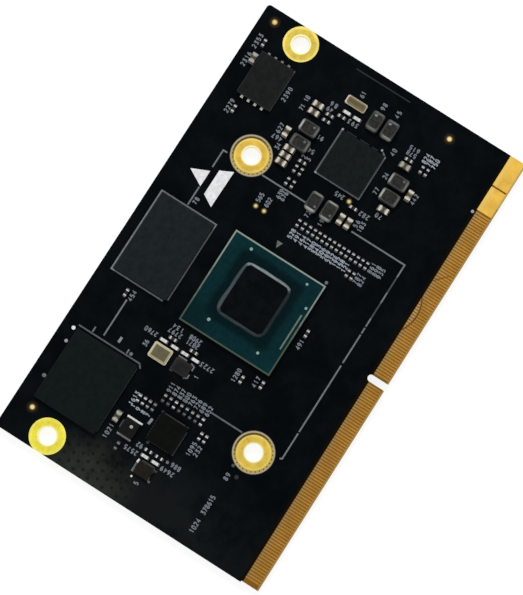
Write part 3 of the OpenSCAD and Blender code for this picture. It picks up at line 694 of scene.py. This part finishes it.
numberLook = {
    "height": 0.68, "advance": 0.64, "stroke": 0.17, "narrow": 0.78,
    # middle on the plan and length, for the numbers that run along the card
    "along": [
        (8.9, 34.15, 2.7), (4.25, 25.8, 0.85), (13.6, 21.25, 2.6), (13.8, 20.2, 2.0), (12.95, 14.05, 1.45),
        (24.05, 36.7, 1.2), (23.75, 26.8, 0.9), (27.5, 21.55, 2.5), (28.3, 18.25, 2.0), (29.3, 42.7, 2.0),
        (37.2, 15.55, 1.8), (47.95, 42.4, 1.4), (54.05, 33.9, 1.7), (54.05, 32.35, 1.7),
        (56.3, 31.45, 1.7), (56.3, 30.7, 1.7), (63.6, 31.5, 0.6), (63.6, 30.6, 0.6), (51.3, 13.45, 2.0),
        (51.3, 12.6, 2.0), (54.05, 12.35, 2.0), (54.05, 11.45, 2.0), (54.05, 10.6, 2.0), (55.9, 25.9, 1.4),
        (55.85, 23.3, 1.4), (58.85, 18.3, 1.5), (58.8, 17.35, 1.9), (72.1, 19.5, 1.4), (65.15, 18.5, 1.3),
        (68.1, 18.5, 1.1), (77.5, 28.8, 1.2), (77.65, 24.8, 1.4), (77.8, 22.15, 1.5), (67.3, 12.5, 2.0),
        (64.15, 46.3, 2.6), (72.2, 48.2, 2.7), (75.75, 48.2, 2.8), (70.8, 39.35, 2.8), (65.5, 37.3, 1.9),
        (62.75, 36.0, 1.2), (70.35, 36.1, 1.1), (72.0, 36.2, 1.1),
    ],
    # and for those that run across it
    "across": [
        (8.25, 29.4, 2.6), (9.65, 28.6, 1.2), (8.45, 22.6, 2.6), (9.8, 21.8, 1.9), (26.0, 26.2, 2.6),
        (26.1, 37.0, 2.5), (27.95, 33.55, 2.6), (28.9, 33.55, 2.2), (27.9, 30.2, 2.3), (28.8, 30.2, 2.3),
        (61.3, 23.15, 1.8), (60.65, 18.0, 2.0), (72.5, 32.1, 1.2), (73.5, 31.9, 1.6), (72.55, 27.6, 2.2),
        (61.85, 15.95, 1.4), (63.9, 36.9, 1.9), (65.0, 30.95, 1.2), (67.7, 30.85, 1.2), (73.4, 16.85, 1.9),
        (74.35, 16.85, 2.0),
    ],
    # rows beside the resistors: middle, number of labels, pitch, length
    "leftRows": [(20.2, 22.15, 8, 1.03, 1.8)],
    "rows": [(51.8, 16.05, 9, 0.915, 1.8), (51.8, 24.3, 3, 1.03, 1.8), (14.42, 30.07, 4, 0.95, 0.6),
             (15.55, 33.45, 1, 0.8, 2.5), (74.1, 12.65, 3, 0.9, 1.9)],
    "long": [(1024, (3.6, 14.15, 2.6)), (378615, (7.5, 14.15, 3.5))], "longHeight": 0.72,
}


def numberParts(place, value, look, turn=0):
    # digits side by side about a middle, turned with their row
    x, y, length = place
    text = str(value)
    height, wide = look["height"], look["height"] * look["narrow"]
    angle = math.radians(turn)
    spin = np.array([[math.cos(angle), math.sin(angle)], [-math.sin(angle), math.cos(angle)]])
    advance = length / len(text)
    parts = []
    for index, digit in enumerate(text):
        start = np.array([-length / 2 + index * advance + (advance - 0.6 * wide) / 2, -height / 2])
        path = np.reshape(digitPaths[digit], (-1, 2)) / 100 * (wide, height) + start
        parts.append(ribbon(path @ spin + (x, y), look["stroke"], closed=digit in "08"))
    return parts


def numberFor(index, length, look):
    # as many digits as the length takes, and another number for each index
    digits = max(1, round(length / look["advance"]))
    return 10 ** (digits - 1) + (37 * index + 21) % (9 * 10 ** (digits - 1))


def rowPlaces(rows):
    return [((x, y + i * pitch, length), 0) for x, y, count, pitch, length in rows for i in range(count)]


labels = [(place, 0) for place in numberLook["along"]] + [(place, 90) for place in numberLook["across"]]
labels += rowPlaces(numberLook["leftRows"])
rows = rowPlaces(numberLook["rows"])
for name, group, ink in (("legend_numbers", labels, numberInk), ("legend_row_numbers", rows, rowInk)):
    digits = []
    for index, (place, turn) in enumerate(group):
        digits += numberParts(place, numberFor(index, place[2], numberLook), numberLook, turn)
    addPiece(name, digits, ink)
longLook = dict(numberLook, height=numberLook["longHeight"])
digits = [part for value, place in numberLook["long"] for part in numberParts(place, value, longLook)]
addPiece("legend_long_number", digits, numberInk)
print("legend printed:", len(labels) + len(rows), "numbers")


# processor

socLow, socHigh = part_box("processor_substrate")
dieLow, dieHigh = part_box("processor_die")
dieHalf = np.array((dieHigh.x - dieLow.x, dieHigh.y - dieLow.y)) / 2 / mm
socTop = socHigh.z / mm
socPrint = (socTop - inkSink, socTop + 0.012)       # foot and top of what is printed on it
socMiddle = onPlan("processor_substrate")
dieMiddle = onPlan("processor_die")
processorLook = {
    # the first two tones are a painted shadow round the bead, darkest next to it
    "beadShadow": paint(6, 24, 28), "beadShadowOut": 1.4, "beadShadowHalf": (5.0, 4.65),
    "ring": paint(8, 31, 35), "shadowRingOut": 1.7,
    "board": paint(12, 43, 47), "boardSide": paint(58, 52, 32),
    "corner": paint(11, 49, 53), "cornerFrom": 8.5, "cornerTo": 11.2,
    "rimLow": paint(72, 85, 74), "rimHigh": paint(140, 153, 142), "rimWidth": 0.26, "rimSet": 0.02,
    "spots": [(32.7, 30.15, 0.29), (46.05, 30.5, 0.27), (32.35, 20.55, 0.25), (46.05, 19.8, 0.23),
              (42.65, 17.85, 0.24)],
    "spotTone": (138, 164, 160),
    "bar": (34.8, 17.85, 41.35, 17.85), "barWidth": 0.27, "barTone": (106, 121, 105),
    "darkCorner": paint(9, 34, 37), "darkPlace": (31.2, 33.3, 1.0), "darkReach": 3.2,
}


def makeSubstrateFinish(look):
    # a painted shadow round the bead, darkest next to it, and then the board's own tone, lighter at two
    # corners and darker near one
    material, shader, place = newFinish("processor_board", specular=0.012)
    clouds = noise(place, 300, 4, 0.55)
    away = line(clouds, 1.2, farFromBox(place, dieMiddle, look["beadShadowHalf"]))
    shade = blend(ease(away, look["beadShadowOut"], look["beadShadowOut"] + 0.5), look["beadShadow"], look["ring"])
    shade = blend(ease(away, look["shadowRingOut"], look["shadowRingOut"] + 0.8), shade, look["board"])
    x, y = split(fromSpot(place, socMiddle))[:2]
    outer = ease(farFrom(place, socMiddle), look["cornerFrom"], look["cornerTo"])
    pair = ease(both(x, y), -12.0, 12.0)        # x times y picks two opposite corners
    shade = blend(both(outer, pair), shade, look["corner"])
    dark = nearSpots(place, [look["darkPlace"]], look["darkReach"], 0.5)
    shade = mottled(place, blend(dark, shade, look["darkCorner"]), 1300, 0.2)
    fanOut = ease(bands(turned(place, angle=45), 1100, "X", 6.0, 0.2), 0.6, 0.85)
    shade = tinted(shade, fanOut, 0.25, times(look["board"], 1.35))
    shade = blend(ease(upness(place), 0.5, 0.3), shade, look["boardSide"])
    setSurface(shader, shade, line(clouds, 0.15, 0.3),
               bump(sums("ADD", fanOut, noise(place, 3000, 2)), 0.12))
    return material


def makeRimFinish(look):
    # brighter towards the right and the rear, as the bare edge catches the light
    material, shader, place = newFinish("processor_rim", specular=0.05)
    x, y = split(fromSpot(place, socMiddle))[:2]
    lit = sums("ADD", both(x, 0.062), both(y, 0.008))
    lit = ease(line(noise(place, 900), 0.7, lit), 0.0, 0.85)
    setSurface(shader, blend(lit, look["rimLow"], look["rimHigh"]), 0.5, bump(noise(place, 5000), 0.15))
    return material


dress(makeSubstrateFinish(processorLook), "processor_substrate")
width = processorLook["rimWidth"]
half = (socHigh.x - socLow.x) / 2 / mm - width / 2 - processorLook["rimSet"]
addPiece("processor_rim_line", [ribbon(socMiddle + half * square, width, *socPrint, True)],
         makeRimFinish(processorLook))
addPiece("processor_bar", [ribbon(processorLook["bar"], processorLook["barWidth"], *socPrint)],
         inkFinish("processor_bar_ink", processorLook["barTone"], 0.15))
addPiece("processor_spots", discs(processorLook["spots"], *socPrint),
         inkFinish("processor_ink", processorLook["spotTone"], 0.1))

beadLook = {
    "outer": (5.1, 4.66), "power": 6.5, "gap": 0.004, "least": 0.25, "around": 192, "across": 12,
    "height": 0.47, "fall": 2.2, "bulge": 0.26, "bulgeAt": 2.12, "bulgeSpan": 0.26, "footHeight": 0.01,
    "dark": paint(7, 12, 16), "paleFrom": 0.06, "paleTo": 0.3,
    "foot": paint(10, 26, 30), "footFrom": 0.8, "footTo": 1.0,
    "right": paint(136, 146, 150), "rear": paint(74, 84, 88),
    "left": paint(54, 66, 69), "front": paint(38, 47, 50),
    "die": paint(9, 13, 17), "cornerRadius": 0.9,
}


def makeBead(look):
    # height falls as a power of the way out, between the die's rectangle and a bulged superellipse
    angle = fullTurn(look["around"])
    direction = headings(angle)
    inner = ((dieHalf + look["gap"]) / np.maximum(abs(direction), 1e-9)).min(1)
    outer = ((abs(direction) / look["outer"]) ** look["power"]).sum(1) ** (-1 / look["power"])
    outer = np.maximum(outer, inner + look["least"])
    outer += look["bulge"] * np.exp(-((angle - look["bulgeAt"]) / look["bulgeSpan"]) ** 2)
    outer += 0.03 * np.sin(5 * angle + 1) + 0.02 * np.sin(11 * angle)      # an uneven outline
    way = np.linspace(0, 1, look["across"])
    radius = np.column_stack([inner[:, None] + (outer - inner)[:, None] * way, outer, inner])
    crown = look["height"] * (1 - way ** look["fall"]) * (0.85 + 0.15 * np.cos(way * 3))
    crown[-1] = look["footHeight"]
    height = np.concatenate((socTop + crown, [socTop - inkSink] * 2))
    flat = dieMiddle + radius[..., None] * direction[:, None, :]
    grid = np.dstack((flat, np.broadcast_to(height, flat.shape[:2])))
    return gridSolid(grid), np.tile(np.concatenate((way, [1.0, 0.0])), len(angle))


def beadTone(place, look):
    # the four sides of the bead differ, as the light takes them
    x, y = split(fromSpot(place, dieMiddle, look["outer"]))[:2]
    sideways = sums("SUBTRACT", sums("ABSOLUTE", x), sums("ABSOLUTE", y))
    ends = blend(ease(x, -0.2, 0.2), look["left"], look["right"])
    sides = blend(ease(y, -0.2, 0.2), look["front"], look["rear"])
    tone = blend(ease(sideways, -0.16, 0.06), sides, ends)
    return tinted(tone, ease(noise(place, 500, 3), 0.25, 0.7), 0.35, times(look["foot"], 1.2))


def makeDieFinish(look):
    # dark smooth silicon, where the resin has crept over the corners outside a rounded rectangle; the corners
    # take the bead's tones, painted light included
    material, shader, place = newFinish("processor_die", specular=0.02)
    patches = noise(place, 450, 4)
    shade = blend(ease(patches, 0.3, 0.7), times(look["die"], 0.7), times(look["die"], 1.3))
    radius = look["cornerRadius"]
    past = line(noise(place, 900), 0.2, farFromBox(place, dieMiddle, dieHalf - radius))
    shade = blend(ease(past, radius + 0.08, radius + 0.3), shade, beadTone(place, look))
    setSurface(shader, shade, line(patches, 0.1, 0.15), bump(noise(place, 7000, 2, 0.6), 0.05))
    return material


def makeBeadFinish(look):
    # the bead is palest along its slope, where its sides take their painted highlights
    material, shader, place = newFinish("underfill", specular=0.1)
    way = addNode("Attribute", {}, material.node_tree, attribute_name="wayOut").outputs["Fac"]
    wobble = line(noise(place, 900), 0.15, way)
    shade = blend(ease(wobble, look["paleFrom"], look["paleTo"]), look["dark"], beadTone(place, look))
    shade = blend(ease(wobble, look["footFrom"], look["footTo"]), shade, look["foot"])
    setSurface(shader, shade, 0.3, bump(noise(place, 4000), 0.1))
    return material


dress(makeDieFinish(beadLook), "processor_die")
beadSolid, beadWay = makeBead(beadLook)
bead = addPiece("underfill_bead", [beadSolid], makeBeadFinish(beadLook), smooth=True)
wayOut = bead.data.attributes.new("wayOut", "FLOAT", "POINT")
wayOut.data.foreach_set("value", beadWay.astype(np.float32))
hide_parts("processor_underfill")
print("processor made")


# moulded packages

mouldLook = {"specular": 0.02, "rough": 0.55, "spread": 0.18, "patch": 1100,
             "grain": 9000, "bump": 0.25, "speckle": 0.2}
# each pair is the body's colour and then its edge tone, a paler painted highlight on the sloped edges
mouldTones = {
    "memory_chip": ((28, 34, 35), (46, 50, 51)), "storage_chip": ((18, 24, 24), (28, 33, 31)),
    "flash_chip": ((27, 30, 28), (54, 58, 56)), "power_chip": ((22, 27, 28), (38, 42, 42)),
    "network_chip": ((13, 15, 13), (32, 30, 26)), "oscillator_body": ((33, 30, 26), (50, 46, 40)),
}
for side in ("left", "right", "rear"):
    mouldTones["underside_" + side + "_chip"] = ((22, 25, 25), (42, 44, 42))
mouldTones = {name: {"colour": tone, "edge": edge} for name, (tone, edge) in mouldTones.items()}
dressEach(mouldTones, "_mould", mouldLook)
print("packages dressed")


# crystals

baseLook = {"rough": 0.45, "spread": 0.08, "patch": 1800}
lidLook = {"rough": 0.4, "edgeFrom": 0.985, "edgeTo": 0.9}
paleLid = {**lidLook, "spread": 0.12, "patch": 1500}
crystalLook = {
    "main_crystal_base": {**baseLook, "colour": (206, 198, 168)},
    "clock_crystal_base": {
        **baseLook, "colour": (186, 172, 148), "tint": (228, 214, 198), "tintReach": 0.75,
        "tintSoft": 0.4, "tintSpots": [(75.5, 30.95, 1.0)]},
    "network_crystal_base": {"colour": (52, 50, 48), "rough": 0.5},
    # the lids' edge tones are painted highlights on their sloped rims
    "main_crystal_lid": {**paleLid, "colour": (100, 96, 74), "edge": (206, 198, 164), "edgeShare": 0.8},
    "clock_crystal_lid": {**paleLid, "colour": (98, 91, 66), "edge": (150, 136, 104)},
    "network_crystal_lid": {**lidLook, "colour": (34, 33, 33), "edge": (46, 44, 43)},
}
dressEach(crystalLook, "_finish", {"specular": 0.05})
print("crystals dressed")


# coils

coilNames = [name for name in nodes
             if name.startswith(("rear_coil", "inner_coil", "outer_coil", "front_coil"))]
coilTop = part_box("rear_coil_left")[1].z / mm
windowTop = coilTop - 0.08      # floor of the shallow winding window
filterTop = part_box("filter_coil_body")[1].z / mm
dotHeight = 0.02
ferriteLook = {"specular": 0.05, "rough": 0.5, "grain": 8000, "bump": 0.5}
# on the coils and the filter coil the edge tone is a painted highlight on sloped faces
coilLook = {
    "colour": (43, 43, 42), "edge": (60, 62, 61), "spread": 0.4, "patch": 1900, "speckle": 0.3,
    "rim": (72, 73, 73), "rimFrom": coilTop - 0.06, "rimTo": coilTop - 0.02,
}
filterLook = {"colour": (21, 20, 21), "edge": (36, 35, 33), "speckle": 0.25}
dress(grainyFinish("coil_ferrite", {**ferriteLook, **coilLook}), *coilNames)
dress(grainyFinish("filter_ferrite", {**ferriteLook, **filterLook}), "filter_coil_body")
# the tint spots are painted highlights, stronger on some cap ends than on others
capLook = {
    "colour": (74, 75, 73), "specular": 0.1, "rough": 0.4, "spread": 0.2, "patch": 2400, "grain": 7000,
    "bump": 0.3, "tint": (172, 172, 164), "tintReach": 0.8, "tintSoft": 0.5,
    "tintSpots": [
        (65, 34.6, 0.1), (65, 31.8, 0.25), (67.85, 34.6, 1.0), (67.85, 31.7, 0.2), (56.6, 26.05, 1.0),
        (59.5, 26.05, 0.4), (56.6, 23.2, 0.65), (59.5, 23.2, 0.6), (73.2, 24.7, 0.25), (76.1, 24.7, 0.15),
        (73.2, 21.75, 0.5), (76.1, 21.95, 0.2), (65.25, 17.5, 0.95), (65.25, 14.65, 0.15), (68.15, 17.6, 0.7),
        (68.15, 14.7, 0.25),
    ],
}
dress(grainyFinish("coil_caps", capLook), "coil_feet")
dotLook = {     # tone, height that it is printed on, and spots
    "coil_dots": ((98, 98, 94), windowTop, [
        (65.5, 32.6, 0.24), (68.35, 32.5, 0.24), (57.4, 25.55, 0.22), (57.45, 22.65, 0.22),
        (68.7, 15.4, 0.24)]),
    "outer_coil_dots": ((134, 134, 130), windowTop, [(75.6, 25.1, 0.27), (75.6, 22.45, 0.29)]),
    "filter_coil_dot": ((168, 168, 163), filterTop, [(11.42, 31.27, 0.27)]),
}
for name, (tone, top, spots) in dotLook.items():
    dots = discs(spots, top - inkSink, top + dotHeight, sides=14)
    addPiece(name, dots, inkFinish(name + "_ink", tone, 0.15))
print("coils dressed")


# solder and small parts

solderLook = {
    "colour": (238, 235, 228), "specular": 0.3, "rough": 0.3, "roughSpread": 0.12, "spread": 0.06,
    "patch": 2600, "grain": 6000, "bump": 0.3,
    # in every solder look the darker edge tone is a painted reflection of the dark board on sloped solder
    "edge": (120, 120, 117), "edgeFrom": 0.95, "edgeTo": 0.7, "edgeShare": 0.8,
}
dull = (110, 112, 108)
dimEnds = [(x, 22.15 + i * 1.03, level)
           for i in (1, 2, 3, 4, 6, 7) for x, level in ((17.6, 0.9), (18.7, 0.45))]
dimEnds += [(15.5, 30.0, 0.7), (16.5, 30.0, 0.7), (15.5, 30.93, 0.45), (16.5, 30.93, 0.45),
            (7.1, 31.65, 0.75), (8.2, 31.65, 0.75)]
solderNodes = {
    "supply_capacitor_ends": {
        "colour": (212, 206, 192), "edge": (110, 107, 100), "tint": (150, 152, 150),
        "tintReach": 1.3, "tintSpots": [(71.05, 16.7, 0.8), (11.65, 34.15, 0.8), (72.9, 47.2, 0.8)]},
    "load_capacitor_ends": {"colour": (226, 226, 223)},
    "left_resistor_ends": {
        "colour": (202, 204, 203), "edge": (84, 86, 85),
        "tint": (70, 73, 74), "tintReach": 0.5, "tintSpots": dimEnds},
    "right_resistor_ends": {"colour": (182, 184, 183), "edge": (72, 74, 74)},
    "single_part_ends": {"colour": (198, 199, 196), "edge": (96, 97, 95)},
    "flash_lands": {"tint": dull, "tintReach": 3.4, "tintSpots": [(75.1, 42.5, 0.9), (75.1, 44.6, 0.9)]},
    "filter_coil_feet": {"tint": dull, "tintReach": 1.8, "tintSpots": [(9.45, 31.5, 0.85)]},
    "power_chip_lands": {"colour": (90, 92, 90)}, "network_chip_lands": {"colour": (44, 46, 44)},
    "oscillator_lands": {"colour": (150, 150, 144)},
    "underside_chip_lands": {}, "underside_capacitor_ends": {},
    "processor_solder_joints": {}, "memory_solder_joints": {}, "storage_solder_joints": {},
}
dressEach(solderNodes, "_solder", solderLook)
capacitorPlaces = [       # middle and turn
    (60.75, 34.15, 90), (62.03, 34.15, 90), (63.31, 34.15, 90), (70.6, 34.05, 90), (72.0, 34.05, 90),
    (58.1, 19.5, 0), (58.1, 20.9, 0), (65.5, 36.05, 0), (63.05, 15.85, 90), (71.05, 16.7, 90),
    (67.35, 13.55, 0), (11.65, 34.15, 0), (72.9, 47.2, 0),
]
endPlaces = [(x + side * math.cos(math.radians(turn)), y + side * math.sin(math.radians(turn)), 0.85)
             for x, y, turn in capacitorPlaces for side in (-0.75, 0.75)]       # paler towards both ends
bodyLook = {
    "supply_capacitor_bodies": {
        "colour": (76, 70, 56), "spread": 0.25, "patch": 500,
        "tint": (184, 178, 164), "tintReach": 0.5, "tintSoft": 0.3, "tintSpots": endPlaces},
    "underside_capacitor_bodies": {"colour": (110, 90, 62), "patch": 1500},
    "single_part_bodies": {"colour": (46, 44, 40)},
    "load_capacitor_bodies": {"colour": (208, 207, 202)},
    "left_resistor_bodies": {"colour": (13, 15, 17)},
    "right_resistor_bodies": {"colour": (15, 17, 19)},
}
dressEach(bodyLook, "_glaze", {"specular": 0.05, "rough": 0.4})
print("small parts dressed")


# floor and light

stageLook = {"size": 4.0, "white": 0.92, "ownLight": 0.84, "lit": 0.26}


def seenRay(tree):
    # 1 for what the camera sees itself or in metal and glass, else 0
    rays = addNode("LightPath", {}, tree).outputs
    seen = sums("MAXIMUM", rays["Is Camera Ray"], rays["Is Glossy Ray"])
    return sums("MAXIMUM", seen, rays["Is Transmission Ray"])


def makeFloor(look):
    mesh = bpy.data.meshes.new("floor")
    corners = np.column_stack((square * look["size"] / 2, np.zeros(4)))
    mesh.from_pydata(corners.tolist(), [], [(0, 1, 2, 3)])
    material = bpy.data.materials.new("floor_white")
    material.use_nodes = True
    tree = material.node_tree
    tree.nodes.clear()
    plain = addNode("BsdfDiffuse", {"Color": (look["white"],) * 3}, tree)
    soft = addNode("BsdfDiffuse", {"Color": (look["lit"],) * 3}, tree)
    glow = addNode("Emission", {"Strength": look["ownLight"]}, tree)
    mixed = addNode("AddShader", {0: soft.outputs[0], 1: glow.outputs[0]})
    choice = addNode("MixShader", {0: seenRay(tree), 1: plain.outputs[0], 2: mixed.outputs[0]})
    addNode("OutputMaterial", {"Surface": choice.outputs[0]})
    mesh.materials.append(material)
    floor = newObject("floor", mesh)


lightLook = {
    "sky": 0.62,
    "key": {"azimuth": 33, "height": 50, "distance": 1.2, "size": 0.5, "power": 7.0},
    "side": {"azimuth": 165, "height": 35, "distance": 1.2, "size": 0.7, "power": 2.0},
}


def makeLights(look):
    world = bpy.data.worlds.new("soft_sky")
    bpy.context.scene.world = world
    world.use_nodes = True
    world.node_tree.nodes.clear()
    strength = line(seenRay(world.node_tree), 1 - look["sky"], look["sky"])
    addNode("OutputWorld", {"Surface": addNode("Background", {"Strength": strength}).outputs[0]})
    for name in ("key", "side"):
        lamp = look[name]
        data = bpy.data.lights.new(name + "_panel", "AREA")
        data.size = lamp["size"]
        data.energy = lamp["power"]
        azimuth, height = math.radians(lamp["azimuth"]), math.radians(lamp["height"])
        level = math.cos(height)
        place = Vector((math.cos(azimuth) * level, math.sin(azimuth) * level, math.sin(height)))
        place *= lamp["distance"]
        panel = newObject(name + "_panel", data)
        panel.location = place
        panel.rotation_euler = place.to_track_quat("Z", "Y").to_euler()


makeFloor(stageLook)
makeLights(lightLook)
bpy.context.scene.view_settings.view_transform = "Standard"
print("floor and light set")
